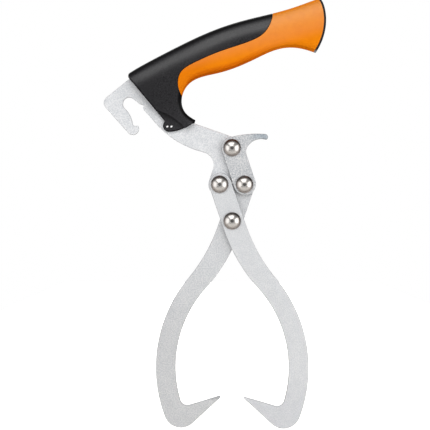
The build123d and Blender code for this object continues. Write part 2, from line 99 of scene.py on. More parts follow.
# The grain's fine noise, its broad clouds, and their values between which a finish changes
GRAIN_NOISE = {"Detail": 2.0, "Roughness": 0.6}
CLOUD_NOISE = {"Detail": 3.0}
CLOUD_SCALE = 0.12
GRAIN_SPAN = (0.3, 0.7)
SPECKLE_SPAN = (0.32, 0.68)
MOTTLE_SPAN = (0.35, 0.65)
PATCH_SPAN = (0.35, 0.75)

# Steel: the clouds' share of the speckle, and how far red, green and blue follow a plate's contrast
CLOUD_SHARE = 0.12
CHANNEL_SWING = (1.1, 1.0, 0.9)

# Steel: changes of roughness at the lowest and the highest grain, and the washers' darker grain
STEEL_ROUGH = (-0.06, 0.08)
WASHER_ROUGH = (-0.06, 0.06)
WASHER_SHADE = 0.9

# Nickel: the film on the dome, the stains on its skirt's painted dark ring, and the painted shade on the
# side of the skirt that faces up and right
FILM_SHADE = 0.94
FILM_ROUGH = (-0.02, 0.03)
SKIRT_TURN = (0.76, 0.9)
STAIN_SHADE = 0.7
LEAN_RIGHT = 0.5
LEAN_SPAN = (-0.6, 0.6)
LEAN_SHADE = (0.5, 0.5, 0.5, 1.0)

# Black plastic: its mottled grain, the paler lower part, and painted shade on the rim of the guard, on
# its sides and on the crest
MOTTLE_SHADES = (0.72, 1.58)
SHELL_ROUGH = (-0.05, 0.07)
LOWER_REACH = (-0.06, -0.01)
LOWER_TINT = (1.4, 1.4, 1.4, 1.0)
GUARD_REACH = (0.0, 0.009)
CREST_RISE = (0.36, 0.62)
CREST_SHARE = 0.9
EDGE_SHADE = 0.3

# End cap: changes of roughness at the lowest and the highest grain, and its share of the gloss
CAP_ROUGH = (0.05, 0.2)
CAP_GLOSS = 0.5

# Black plastic: the palm's polish at the left and right ends of a run, and the heights where it starts
POLISH_RUN = (-0.05, 0.02)
POLISH_ENDS = {"Low": (-0.12, -0.04), "High": (0.06, 0.2), "Fade": (0.14, 0.4), "Crest": (0.52, 0.72)}
POLISH_REST = 0.2
PALM_REACH = (-0.008, 0.001)
PALM_LEAST = 0.1

# Orange layer: deeper in patches, with painted shade at the neck and underneath, and a painted dark line
# along its underside
PATCH_DEPTH = 0.2
NECK_REACH = (-0.03, -0.006)
NECK_DEPTH = 0.38
UNDER_RISE = (-0.85, -0.15)
BUTT_REACH = (0.01, 0.05)
BUTT_DEPTH = 0.12
LINE_RISE = (-0.3, 0.2)
LINE_POWER = 10.0
LINE_TINT = (0.74, 0.68, 0.74, 1.0)

# Orange layer: its polish, and the heights over which it grows glossier and paler, the paler colour
# being painted light
GRIP_POLISH = {"Low": -1.1, "High": -0.6, "Fade": 0.45, "Crest": 0.8, "Rest": 0.12}
GRIP_ROUGH = (-0.05, 0.1)
GRIP_COAT_IOR = 1.8
PALE_REACH = (-0.008, 0.012)
SHEEN_REACH = (-0.014, -0.002)
SHEEN_SHARE = 0.65
CROWN_REACH = (-0.002, 0.013)
CROWN_SHARE = 0.35

# New pieces: the distance within which vertices are merged, and the angle past which an edge is sharp
MERGE_DISTANCE = 0.00001
SHARP_ANGLE = 0.6

# Studio: shares of a view direction along Y between which the parts of the room begin or end
BACKDROP_VIEW = (0.86, 0.97)
TENT_VIEW = (-0.5, -0.1)
FRONT_VIEW = (-0.9, -0.84)
LENS_VIEW = (-0.96, -0.915)

# Floor: distances towards the back, and in plan from the origin, over which it turns white
FLOOR_BACK_REACH = (0.5, 1.2)
FLOOR_WHITE_REACH = (0.1, 0.34)

# Width of the camera's sensor in millimetres
SENSOR_WIDTH = 36.0


class GradedTint(NamedTuple):
    """A tint that comes in along a direction, between two places on it; on the jaws it is painted shade.
    """

    tint: tuple
    way: tuple
    span: tuple


class Blank(NamedTuple):
    """One plate's steel, against the common finish: grain, tone, contrast, edge darkness and a graded
    tint.
    """

    grain: float
    tone: float
    contrast: float
    edge: float
    graded_tint: GradedTint = None


# The link grows bluer and darker towards its spur; the jaws darken towards their claws as painted shade
# of light from above
LINK_SPUR_TINT = GradedTint(tint=(0.745, 0.8, 0.84), way=(1, 0, 0.6), span=(-0.04, -0.02))
RIGHT_JAW_PAINTED_SHADE = GradedTint(tint=(0.96, 0.96, 0.97), way=(0, 0, -1), span=(0.29, 0.33))
LEFT_JAW_PAINTED_SHADE = GradedTint(tint=(0.94, 0.937, 0.935), way=(0, 0, -1), span=(0.19, 0.27))
PLATES = {
    "frame_plate": Blank(grain=1.1, tone=1.008, contrast=0.12, edge=0.45),
    "link": Blank(grain=1.4, tone=0.85, contrast=0.22, edge=1.0, graded_tint=LINK_SPUR_TINT),
    "right_jaw": Blank(grain=1.0, tone=0.935, contrast=0.11, edge=0.8, graded_tint=RIGHT_JAW_PAINTED_SHADE),
    "left_jaw": Blank(grain=1.3, tone=0.905, contrast=0.14, edge=0.8, graded_tint=LEFT_JAW_PAINTED_SHADE),
}


def colour(name, description, value):
    """A colour setting."""
    return FloatVectorProperty(
        name=name, description=description, subtype="COLOR", size=3, min=0, max=1, default=value
    )


def length(name, description, value):
    """A length setting, in metres."""
    return FloatProperty(
        name=name,
        description=description,
        subtype="DISTANCE",
        unit="LENGTH",
        precision=5,
        min=0,
        default=value,
    )


def share(name, description, value):
    """A setting between nothing and all."""
    return FloatProperty(
        name=name, description=description, subtype="FACTOR", min=0, max=1, default=value
    )


def light(name, description, value):
    """The brightness of a lit wall."""
    return FloatProperty(name=name, description=description, min=0, default=value)


def count(name, description, least, value):
    """A whole number of steps."""
    return IntProperty(name=name, description=description, min=least, default=value)


class SteelFinish(bpy.types.PropertyGroup):
    """Blasted sheet steel of the plates, and brighter steel of the washers."""

    face: colour("Face", "Colour of the blasted faces", (0.83, 0.84, 0.855))
    cut: colour("Cut edge", "Colour of the stamped edges", (0.36, 0.36, 0.365))
    grain: length("Grain", "Size of the grains that the blasting leaves", 0.0008)
    depth: length("Grain depth", "Depth of the grains", 0.00002)
    roughness: share("Roughness", "Roughness of the faces", 0.72)
    washer_roughness: share("Washer roughness", "Roughness of the washers and spacers", 0.32)


class NickelFinish(bpy.types.PropertyGroup):
    """Polished nickel of the rivets."""

    shine: colour("Nickel", "Colour of the polished nickel", (0.64, 0.613, 0.587))
    # The skirt's darker colour is a painted dark ring round the dome, as painted shade
    skirt: colour("Skirt", "Colour of the duller skirt round the dome", (0.4, 0.358, 0.335))
    roughness: share("Roughness", "Roughness of the polish", 0.22)
    skirt_roughness: share("Skirt roughness", "Roughness of the duller skirt", 0.36)
    waves: length("Waves", "Depth of the waves that the heading tool leaves", 0.00003)
    wave_size: length("Wave size", "Size of the waves", 0.004)
    stain_size: length("Stain size", "Size of the stains on the skirt", 0.0014)


class ShellFinish(bpy.types.PropertyGroup):
    """Hard black plastic of the handle."""

    tone: colour("Black", "Colour of the hard plastic", (0.0255, 0.025, 0.0268))
    grain: length("Grain", "Size of the moulded grain", 0.0007)
    depth: length("Grain depth", "Depth of the moulded grain", 0.00001)
    roughness: share("Roughness", "Roughness of the plastic", 0.28)
    gloss: share("Gloss", "Gloss of the plastic where hands polish it", 1.0)


class GripFinish(bpy.types.PropertyGroup):
    """Soft orange layer of the grip."""

    tone: colour("Orange", "Colour of the soft layer", (0.915, 0.252, 0.005))
    # The deep orange serves random patches and painted shade at the neck and underneath; the pale orange
    # is painted light on top of the butt
    deep: colour("Deep orange", "Colour of the soft layer underneath", (0.74, 0.158, 0.003))
    pale: colour("Pale orange", "Colour of the soft layer on top of the butt", (0.93, 0.303, 0.008))
    grain: length("Grain", "Size of the fine grain", 0.0006)
    depth: length("Grain depth", "Depth of the fine grain", 0.00001)
    roughness: share("Roughness", "Roughness of the soft layer", 0.5)
    gloss: share("Gloss", "Gloss of the soft layer where hands polish it", 1.0)


class RivetShape(bpy.types.PropertyGroup):
    """Shape of the rivets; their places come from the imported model."""

    rim: length("Rim", "Height of the straight rim under the dome", 0.0009)
    shank: length("Shank", "Radius of the shank", 0.004)
    head_base: length("Head seat", "Distance of the head's seat in front of the middle plane", 0.0066)
    tail_base: length("Tail seat", "Distance of the tail's seat behind the middle plane", 0.0032)
    tail: length("Tail", "Radius of the formed tail", 0.0066)
    turns: count("Turns", "Steps round a rivet", 16, 72)
    steps: count("Steps", "Steps from a dome's rim to its crown", 4, 18)


class Studio(bpy.types.PropertyGroup):
    """Light tent, floor and camera."""

    room: share("Room", "Light of the room round the tent", 0.07)
    tent: share("Tent", "Light of the cloth between the tent's walls", 0.36)
    front: share("Front", "Light of the tent's open front", 0.8)
    lens: share("Lens", "Light that the camera itself sends back", 0.08)
    top: light("Top wall", "Light of the tent's top wall", 1.76)
    left: light("Left wall", "Light of the tent's left wall", 1.29)
    right: light("Right wall", "Light of the tent's right wall", 1.91)
    back: light("Back walls", "Light of the walls behind the object", 1.45)
    ceiling: light("Ceiling", "Light of the matt ceiling over the handle", 1.1)
    wall: length("Side distance", "Distance of the side walls from the rivets", 0.6)
    side_near: length("Side start", "Where the side walls start in front of the object", 0.12)
    side_far: length("Side end", "Where the side walls end in front of the object", 1.0)
    side_low: length("Side foot", "How far the side walls reach below the rivets", 0.37)
    side_high: length("Side top", "How far the side walls reach above the rivets", 0.34)
    top_height: length("Top height", "Height of the top wall above the rivets", 1.0)
    top_near: length("Top start", "Where the top wall starts in front of the object", 0.65)
    top_far: length("Top end", "Where the top wall ends in front of the object", 2.7)
    top_left: length("Top left", "How far the top wall reaches to the left", 0.85)
    top_right: length("Top right", "How far the top wall reaches to the right", 0.45)
    ceiling_height: length("Ceiling height", "Height of the ceiling above the origin", 0.6)
    ceiling_width: length("Ceiling width", "Width of the ceiling", 0.6)
    ceiling_depth: length("Ceiling depth", "Depth of the ceiling from front to back", 0.4)
    floor: colour("Floor", "Colour of the floor", (0.88, 0.86, 0.83))
    floor_roughness: share("Floor roughness", "Roughness of the floor", 0.9)
    floor_front: length("Floor front", "How far the floor reaches in front of the object", 0.37)
    floor_side: length("Floor side", "How far the floor reaches to each side", 0.45)
    floor_back: length("Floor back", "How far the floor reaches behind the object", 2.0)
    floor_lift: share("Floor lift", "White that the floor near the object adds to its own light", 0.7)
    floor_shine: share("Floor shine", "White that the floor near the object shows in mirrors", 0.13)
    floor_gap: length("Floor gap", "Height of the claws above the floor", 0.004)
    distance: length("Camera distance", "Distance of the camera from the middle plane", 0.9)
    width: length("View width", "Width of the view at the middle plane", 0.387)
    aim: FloatVectorProperty(
        name="Aim",
        description="Point of the middle plane in the centre of the view",
        subtype="TRANSLATION",
        unit="LENGTH",
        size=3,
        default=(-0.0153, 0.0, -0.1521),
    )


class TongsSettings(bpy.types.PropertyGroup):
    """All settings of the log tongs."""

    steel: PointerProperty(type=SteelFinish)
    nickel: PointerProperty(type=NickelFinish)
    shell: PointerProperty(type=ShellFinish)
    grip: PointerProperty(type=GripFinish)
    rivet: PointerProperty(type=RivetShape)
    studio: PointerProperty(type=Studio)


def settings(context):
    """The settings of the log tongs."""
    return context.scene.log_tongs


def feed(tree, socket, value):
    """Sets a socket's value, or links another socket to it."""
    if isinstance(value, bpy.types.NodeSocket):
        tree.links.new(value, socket)
    else:
        socket.default_value = value


def put(tree, kind, **inputs):
    """A new node of a kind; inputs are values or sockets, by name."""
    made = tree.nodes.new(kind)
    for name, value in inputs.items():
        feed(tree, made.inputs[name], value)
    return made


def sums(tree, operation, first, second=0.0):
    """A Math node's result."""
    made = tree.nodes.new("ShaderNodeMath")
    made.operation = operation
    feed(tree, made.inputs[0], first)
    feed(tree, made.inputs[1], second)
    return made.outputs[0]


def product(tree, first, second):
    """Two values multiplied."""
    return sums(tree, "MULTIPLY", first, second)


def larger(tree, first, second):
    """The larger of two values."""
    return sums(tree, "MAXIMUM", first, second)


def inverse(tree, mask):
    """What a mask leaves out."""
    return sums(tree, "SUBTRACT", 1.0, mask)


def vectors(tree, operation, first, second=(0, 0, 0)):
    """A Vector Math node's results."""
    made = tree.nodes.new("ShaderNodeVectorMath")
    made.operation = operation
    feed(tree, made.inputs[0], first)
    feed(tree, made.inputs[1], second)
    return made.outputs


def blend(tree, share_of_second, first, second, kind="MIX"):
    """A mix of two colours."""
    made = tree.nodes.new("ShaderNodeMix")
    made.data_type = "RGBA"
    made.blend_type = kind
    feed(tree, made.inputs["Factor"], share_of_second)
    feed(tree, made.inputs["A"], first)
    feed(tree, made.inputs["B"], second)
    return made.outputs["Result"]


def tinted(tree, share_of_tint, tone, tint):
    """A colour that takes on a share of a tint."""
    return blend(tree, share_of_tint, tone, tint, kind="MULTIPLY")


def spread(tree, value, span, to_low=0.0, to_high=1.0):
    """A value carried from a span to a new range, smoothly and within it."""
    low, high = span
    made = tree.nodes.new("ShaderNodeMapRange")
    made.interpolation_type = "SMOOTHSTEP"
    feed(tree, made.inputs["Value"], value)
    feed(tree, made.inputs["From Min"], low)
    feed(tree, made.inputs["From Max"], high)
    feed(tree, made.inputs["To Min"], to_low)
    feed(tree, made.inputs["To Max"], to_high)
    return made.outputs["Result"]


def graded(tree, grain, mean, changes):
    """A value that follows the grain, between two changes from its mean."""
    least, most = changes
    return spread(tree, grain, GRAIN_SPAN, mean + least, mean + most)


def opaque(tone):
    """A colour setting with full alpha."""
    return (*tone, 1.0)


def shaded(tone, factor):
    """A colour setting made darker or paler, with full alpha."""
    return opaque([factor * channel for channel in tone])


def normal_parts(tree):
    """The three parts of a surface's normal."""
    facing = tree.nodes.new("ShaderNodeNewGeometry").outputs["Normal"]
    return put(tree, "ShaderNodeSeparateXYZ", Vector=facing).outputs


def object_place(tree):
    """A point's place in object coordinates."""
    return tree.nodes.new("ShaderNodeTexCoord").outputs["Object"]


def distance_along(tree, way):
    """A point's place along a direction, times the direction's length."""
    return vectors(tree, "DOT_PRODUCT", object_place(tree), way)["Value"]


def new_group(name, inputs, outputs):
    """An empty shader node group with float sockets, apart from those named Vector."""
    group = bpy.data.node_groups.new(name, "ShaderNodeTree")
    for title in inputs:
        kind = "NodeSocketVector" if title == "Vector" else "NodeSocketFloat"
        group.interface.new_socket(title, in_out="INPUT", socket_type=kind)
    for title in outputs:
        group.interface.new_socket(title, in_out="OUTPUT", socket_type="NodeSocketFloat")
    start = group.nodes.new("NodeGroupInput")
    end = group.nodes.new("NodeGroupOutput")
    return group, start.outputs, end.inputs


def grain_group():
    """Fine grains with broad soft clouds over them; Grain and Cloud both run about 0.5."""
    group, given, result = new_group("Grain", ("Vector", "Size"), ("Grain", "Cloud"))
    scale = sums(group, "DIVIDE", 1.0, given["Size"])
    fine = put(group, "ShaderNodeTexNoise", Vector=given["Vector"], Scale=scale, **GRAIN_NOISE)
    broad_scale = product(group, scale, CLOUD_SCALE)
    broad = put(group, "ShaderNodeTexNoise", Vector=given["Vector"], Scale=broad_scale, **CLOUD_NOISE)
    feed(group, result["Grain"], fine.outputs["Fac"])
    feed(group, result["Cloud"], broad.outputs["Fac"])
    return group


def plate_side_group():
    """Parts of a piece square to Y: its sides, its wider rim, and cut edges that don't face up; those
    facing up keep the face's colour as painted light.
    """
    group, _, result = new_group("Plate sides", (), ("Side", "Rim", "Shaded cut"))
    ways = normal_parts(group)
    flat = sums(group, "ABSOLUTE", ways["Y"])
    under = spread(group, ways["Z"], LIT_EDGE_RISE, 1.0, 0.0)
    feed(group, result["Side"], spread(group, flat, SIDE_TURN, 1.0, 0.0))
    feed(group, result["Rim"], spread(group, flat, RIM_TURN, 1.0, 0.0))
    feed(group, result["Shaded cut"], product(group, under, spread(group, flat, CUT_TURN, 1.0, 0.0)))
    return group


def facing_up_group():
    """What faces upward: nothing of it at Low and all at High, as shares of the normal along Z."""
    group, given, result = new_group("Facing up", ("Low", "High"), ("Upward",))
    upward = normal_parts(group)["Z"]
    feed(group, result["Upward"], spread(group, upward, (given["Low"], given["High"])))
    return group


def hand_polish_group():
    """Palm polish as faces turn up: in from Low to High, then down to Rest from Fade to Crest; the
    grip's painted light follows it too.
    """
    inputs = ("Low", "High", "Fade", "Crest", "Rest")
    group, given, result = new_group("Hand polish", inputs, ("Polish",))
    upward = normal_parts(group)["Z"]
    rise = spread(group, upward, (given["Low"], given["High"]))
    fall = spread(group, upward, (given["Fade"], given["Crest"]), 1.0, given["Rest"])
    feed(group, result["Polish"], product(group, rise, fall))
    return group


def use_group(tree, name, maker, **inputs):
    """Places a node group, made when it is first asked for, and returns its outputs."""
    made = tree.nodes.new("ShaderNodeGroup")
    made.node_tree = bpy.data.node_groups.get(name) or maker()
    for title, value in inputs.items():
        feed(tree, made.inputs[title], value)
    return made.outputs


def grains(tree, size):
    """The grain effect on object coordinates."""
    return use_group(tree, "Grain", grain_group, Vector=object_place(tree), Size=size)


def plate_sides(tree):
    """The masks of a plate's sides."""
    return use_group(tree, "Plate sides", plate_side_group)


def facing_up(tree, rise):
    """The mask of what faces upward, between two shares of the normal along Z."""
    low, high = rise
    return use_group(tree, "Facing up", facing_up_group, Low=low, High=high)["Upward"]


def hand_polish(tree, **limits):
    """The mask of what a palm rubs."""
    return use_group(tree, "Hand polish", hand_polish_group, **limits)["Polish"]


def new_material(name):
    """A material with nothing but its surface shader; returns its tree and the shader's inputs too."""
    material = bpy.data.materials.new(name)
    material.use_nodes = True
    tree = material.node_tree
    return material, tree, tree.nodes["Principled BSDF"].inputs


def relief(tree, height, depth):
    """A normal from a height of 0 to 1 that stands for a depth."""
    return put(tree, "ShaderNodeBump", Strength=1.0, Distance=depth, Height=height).outputs["Normal"]


def plate_tone(finish, blank, way):
    """A plate's colour at its brightest grains, where way is 1, or at its darkest, where it is -1."""
    swings = [1 + way * blank.contrast * swing for swing in CHANNEL_SWING]
    return opaque([channel * blank.tone * swing for channel, swing in zip(finish.face, swings)])


def steel_material(name, finish, blank):
    """Blasted sheet steel of one plate."""
    material, tree, surface = new_material(name)
    texture = grains(tree, blank.grain * finish.grain)
    fine = product(tree, texture["Grain"], 1 - CLOUD_SHARE)
    speckle = sums(tree, "ADD", fine, product(tree, texture["Cloud"], CLOUD_SHARE))
    bright = spread(tree, speckle, SPECKLE_SPAN)
    face = blend(tree, bright, plate_tone(finish, blank, -1), plate_tone(finish, blank, 1))
    # Graded tint: painted shade towards the claws on the jaws, a bluer and darker spur on the link
    if blank.graded_tint:
        reach = spread(tree, distance_along(tree, blank.graded_tint.way), blank.graded_tint.span)
        face = tinted(tree, reach, face, opaque(blank.graded_tint.tint))
    # Cut edges take the darker cut colour, partly the stamped edge's own colour and partly painted
    # shade; edges facing up stay pale as painted light
    shaded_cut = product(tree, plate_sides(tree)["Shaded cut"], blank.edge)
    feed(tree, surface["Base Color"], blend(tree, shaded_cut, face, opaque(finish.cut)))
    surface["Metallic"].default_value = 1.0
    feed(tree, surface["Roughness"], graded(tree, texture["Grain"], finish.roughness, STEEL_ROUGH))
    feed(tree, surface["Normal"], relief(tree, texture["Grain"], finish.depth))
    return material


def washer_material(finish):
    """Plain bright steel of the washers and spacers."""
    material, tree, surface = new_material("washer_steel_bright")
    grain = grains(tree, finish.grain)["Grain"]
    base = blend(tree, grain, shaded(finish.face, WASHER_SHADE), opaque(finish.face))
    feed(tree, surface["Base Color"], base)
    surface["Metallic"].default_value = 1.0
    feed(tree, surface["Roughness"], graded(tree, grain, finish.washer_roughness, WASHER_ROUGH))
    return material


def nickel_material(finish):
    """Polished nickel with slight waves; its skirt carries a painted dark ring with stains, and more
    painted shade where it faces up and right.
    """
    material, tree, surface = new_material("polished_nickel")
    texture = grains(tree, finish.wave_size)
    film = blend(tree, texture["Cloud"], opaque(finish.shine), shaded(finish.shine, FILM_SHADE))
    ways = normal_parts(tree)
    skirt = spread(tree, sums(tree, "ABSOLUTE", ways["Y"]), SKIRT_TURN, 1.0, 0.0)
    stain = spread(tree, grains(tree, finish.stain_size)["Grain"], MOTTLE_SPAN)
    # Painted shade: the skirt's dark ring, darker still where it faces up and right
    mottled_ring_shade = blend(tree, stain, shaded(finish.skirt, STAIN_SHADE), opaque(finish.skirt))
    lean = sums(tree, "ADD", ways["Z"], product(tree, ways["X"], LEAN_RIGHT))
    leaning_ring_shade = tinted(tree, spread(tree, lean, LEAN_SPAN), mottled_ring_shade, LEAN_SHADE)
    feed(tree, surface["Base Color"], blend(tree, skirt, film, leaning_ring_shade))
    surface["Metallic"].default_value = 1.0
    polish = graded(tree, texture["Cloud"], finish.roughness, FILM_ROUGH)
    duller = product(tree, skirt, finish.skirt_roughness - finish.roughness)
    feed(tree, surface["Roughness"], sums(tree, "ADD", polish, duller))
    feed(tree, surface["Normal"], relief(tree, texture["Grain"], finish.waves))
    return material


def black_grain(tree, surface, finish):
    """Sets the moulded grain of the black plastic; returns its mottled colour and the grain itself."""
    grain = grains(tree, finish.grain)["Grain"]
    feed(tree, surface["Normal"], relief(tree, grain, finish.depth))
    surface["Specular IOR Level"].default_value = 0.0
    surface["Coat Roughness"].default_value = finish.roughness
    dark, pale = [shaded(finish.tone, factor) for factor in MOTTLE_SHADES]
    return blend(tree, spread(tree, grain, MOTTLE_SPAN), dark, pale), grain


def shell_material(finish):
    """Hard black plastic of the body, glossy where a palm rubs it, with painted shade at its edges and
    crest.
    """
    material, tree, surface = new_material("black_plastic")
    mottled, grain = black_grain(tree, surface, finish)
    above = distance_along(tree, GRIP_UP)
    paler_lower = tinted(tree, spread(tree, above, LOWER_REACH, 1.0, 0.0), mottled, LOWER_TINT)
    # Painted shade: the sides, the guard's rim and the crest take a darker black
    sides = plate_sides(tree)
    guard_rim = product(tree, sides["Rim"], spread(tree, above, GUARD_REACH, 1.0, 0.0))
    edge = larger(tree, sides["Side"], guard_rim)
    crest = product(tree, facing_up(tree, CREST_RISE), CREST_SHARE)
    dark = shaded(finish.tone, EDGE_SHADE)
    feed(tree, surface["Base Color"], blend(tree, larger(tree, edge, crest), paler_lower, dark))
    feed(tree, surface["Roughness"], graded(tree, grain, finish.roughness, SHELL_ROUGH))
    along = distance_along(tree, RIGHT)
    limits = {name: spread(tree, along, POLISH_RUN, *ends) for name, ends in POLISH_ENDS.items()}
    polish = hand_polish(tree, Rest=POLISH_REST, **limits)
    height = distance_along(tree, PALM_UP)
    palm = spread(tree, height, PALM_REACH, PALM_LEAST * finish.gloss, finish.gloss)
    feed(tree, surface["Coat Weight"], product(tree, polish, palm))
    return material


def cap_material(finish):
    """The same hard plastic on the end cap, glossy but for its two flanks."""
    material, tree, surface = new_material("cap_plastic")
    mottled, grain = black_grain(tree, surface, finish)
    feed(tree, surface["Base Color"], mottled)
    feed(tree, surface["Roughness"], graded(tree, grain, finish.roughness, CAP_ROUGH))
    gloss = product(tree, plate_sides(tree)["Side"], CAP_GLOSS * finish.gloss)
    feed(tree, surface["Coat Weight"], gloss)
    return material


def grip_material(finish):
    """Soft orange layer with a fine grain, glossier towards the top of the butt and paler there as
    painted light, with painted shade underneath.
    """
    material, tree, surface = new_material("orange_soft")
    texture = grains(tree, finish.grain)
    along = distance_along(tree, RIGHT)
    height = distance_along(tree, SHEEN_UP)
    polish = hand_polish(tree, **GRIP_POLISH)
    # Painted light: paler orange where the polish mask faces up, towards the top
    painted_top_light = product(tree, polish, spread(tree, height, PALE_REACH))
    lit = blend(tree, painted_top_light, opaque(finish.tone), opaque(finish.pale))
    patches = spread(tree, texture["Cloud"], PATCH_SPAN, 0.0, PATCH_DEPTH)
    # Painted shade: deeper orange at the neck and underneath; the patches are random
    neck = spread(tree, along, NECK_REACH, NECK_DEPTH, 0.0)
    below = inverse(tree, facing_up(tree, UNDER_RISE))
    under = product(tree, below, spread(tree, along, BUTT_REACH, 1.0, BUTT_DEPTH))
    deep = larger(tree, larger(tree, patches, neck), under)
    base = blend(tree, deep, lit, opaque(finish.deep))
    # Painted shade: a dark line along the underside's edge
    brink = sums(tree, "POWER", plate_sides(tree)["Side"], LINE_POWER)
    line = product(tree, brink, inverse(tree, facing_up(tree, LINE_RISE)))
    feed(tree, surface["Base Color"], tinted(tree, line, base, LINE_TINT))
    feed(tree, surface["Roughness"], graded(tree, texture["Grain"], finish.roughness, GRIP_ROUGH))
    sheen = spread(tree, height, SHEEN_REACH, 0.0, SHEEN_SHARE * finish.gloss)
    crown = spread(tree, height, CROWN_REACH, 0.0, CROWN_SHARE * finish.gloss)
    feed(tree, surface["Coat Weight"], product(tree, polish, sums(tree, "ADD", sheen, crown)))
    surface["Coat Roughness"].default_value = finish.roughness
    surface["Coat IOR"].default_value = GRIP_COAT_IOR
    surface["Specular IOR Level"].default_value = 0.0
    feed(tree, surface["Normal"], relief(tree, texture["Grain"], finish.depth))
    return material


def dress(node, material):
    """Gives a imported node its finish."""
    slots = frame["nodes"][node].data.materials
    slots.clear()
    slots.append(material)


class TONGS_OT_plates(bpy.types.Operator):
    """Gives the four plates their blasted steel"""

    bl_idname = "tongs.plates"
    bl_label = "Plates"

    def execute(self, context):
        finish = settings(context).steel
        for node, blank in PLATES.items():
            dress(node, steel_material(node + "_steel", finish, blank))
        return {"FINISHED"}


class TONGS_OT_washers(bpy.types.Operator):
    """Gives the washers and spacers their bright steel"""

    bl_idname = "tongs.washers"
    bl_label = "Washers"

    def execute(self, context):
        material = washer_material(settings(context).steel)
        for side in SIDES:
            dress(side + "_washer", material)
            dress(side + "_spacer", material)
        return {"FINISHED"}


class TONGS_OT_handle(bpy.types.Operator):
    """Gives the handle body and the end cap their black plastic"""

    bl_idname = "tongs.handle"
    bl_label = "Handle"

    def execute(self, context):
        finish = settings(context).shell
        dress("handle_shell", shell_material(finish))
        dress("end_cap", cap_material(finish))
        return {"FINISHED"}


class TONGS_OT_grip(bpy.types.Operator):
    """Gives the soft layer of the grip its orange"""

    bl_idname = "tongs.grip"
    bl_label = "Grip"

    def execute(self, context):
        dress("soft_grip", grip_material(settings(context).grip))
        return {"FINISHED"}


def body_of(node):
    """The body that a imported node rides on."""
    bodies = frame["record"]["behaviour"]["bodies"]
    return next(body for body, members in bodies.items() if node in members)


def new_piece(name, mesh, material):
    """Makes an object of a bmesh, smooth but for its sharp edges."""
    data = bpy.data.meshes.new(name)
    mesh.to_mesh(data)
    mesh.free()
    data.materials.append(material)
    data.shade_smooth()
    data.set_sharp_from_angle(angle=SHARP_ANGLE)
    piece = bpy.data.objects.new(name, data)
    bpy.context.scene.collection.objects.link(piece)
    return piece


def dome(mesh, crown, rim_radius, height, way, steps):
    """Turns a crown vertex into a dome's profile and returns its last vertex; way is 1 or -1 along Y."""
    ball = (rim_radius**2 + height**2) / (2 * height)
    swing = asin(rim_radius / ball)
    arc = bmesh.ops.spin(
        mesh,
        geom=[crown],
        cent=crown.co - AWAY * way * ball,
        axis=UP * way,
        angle=-swing,
        steps=steps,
    )
    return arc["geom_last"][0]


def draw_out(mesh, vertex, x, y):
    """Extrudes a profile vertex to a place in the profile's plane."""
    made = bmesh.ops.extrude_vert_indiv(mesh, verts=[vertex])["verts"][0]
    made.co = Vector((x, y, 0))
    return made


def turned_rivet(shape, radius, front, back):
    """A rivet about the Y axis, with a domed head on a straight rim, a shank and a domed tail."""
    head_seat = -shape.head_base
    mesh = bmesh.new()
    head_crown = mesh.verts.new((0, front, 0))
    edge = dome(mesh, head_crown, radius, head_seat - shape.rim - front, -1, shape.steps)
    edge = draw_out(mesh, edge, radius, head_seat)
    edge = draw_out(mesh, edge, shape.shank, head_seat)
    edge = draw_out(mesh, edge, shape.shank, shape.tail_base)
    edge = draw_out(mesh, edge, shape.tail, shape.tail_base)
    tail_crown = mesh.verts.new((0, back, 0))
    last = dome(mesh, tail_crown, shape.tail, back - shape.tail_base, 1, shape.steps)
    bmesh.ops.pointmerge(mesh, verts=[edge, last], merge_co=edge.co)
    bmesh.ops.spin(
        mesh,
        geom=mesh.verts[:] + mesh.edges[:],
        cent=(0, 0, 0),
        axis=AWAY,
        angle=2 * pi,
        steps=shape.turns,
        use_merge=True,
    )
    bmesh.ops.remove_doubles(mesh, verts=mesh.verts[:], dist=MERGE_DISTANCE)
    return mesh


class TONGS_OT_rivets(bpy.types.Operator):
    """Turns the four rivets, each with a domed head and a formed tail"""

    bl_idname = "tongs.rivets"
    bl_label = "Rivets"

    def execute(self, context):
        shape = settings(context).rivet
        material = nickel_material(settings(context).nickel)
        for side in SIDES:
            node = side + "_rivet"
            low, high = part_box(node)
            centre = (low + high) / 2
            mesh = turned_rivet(shape, (high.x - low.x) / 2, low.y, high.y)
            bmesh.ops.translate(mesh, verts=mesh.verts[:], vec=(centre.x, 0, centre.z))
            bmesh.ops.recalc_face_normals(mesh, faces=mesh.faces[:])
            piece = new_piece(side + "_rivet_turned", mesh, material)
            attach(piece, body_of(node))
            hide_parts(node)
        return {"FINISHED"}


def panel_light(name, centre, towards, size, brightness):
    """A wall of the tent: an area light that the camera doesn't see."""
    data = bpy.data.lights.new(name, "AREA")
    data.shape = "RECTANGLE"
    data.size, data.size_y = size
    data.energy = brightness * pi * size[0] * size[1]
    lamp = bpy.data.objects.new(name, data)
    lamp.location = centre
    lamp.rotation_mode = "QUATERNION"
    lamp.rotation_quaternion = Vector(towards).to_track_quat("-Z", "Y")
    lamp.visible_camera = False
    bpy.context.scene.collection.objects.link(lamp)
    return lamp


def background_rays(tree):
    """Masks of rays that show the background: the camera's own, and those mirrored or through glass."""
    path = tree.nodes.new("ShaderNodeLightPath").outputs
    return path["Is Camera Ray"], larger(tree, path["Is Glossy Ray"], path["Is Transmission Ray"])


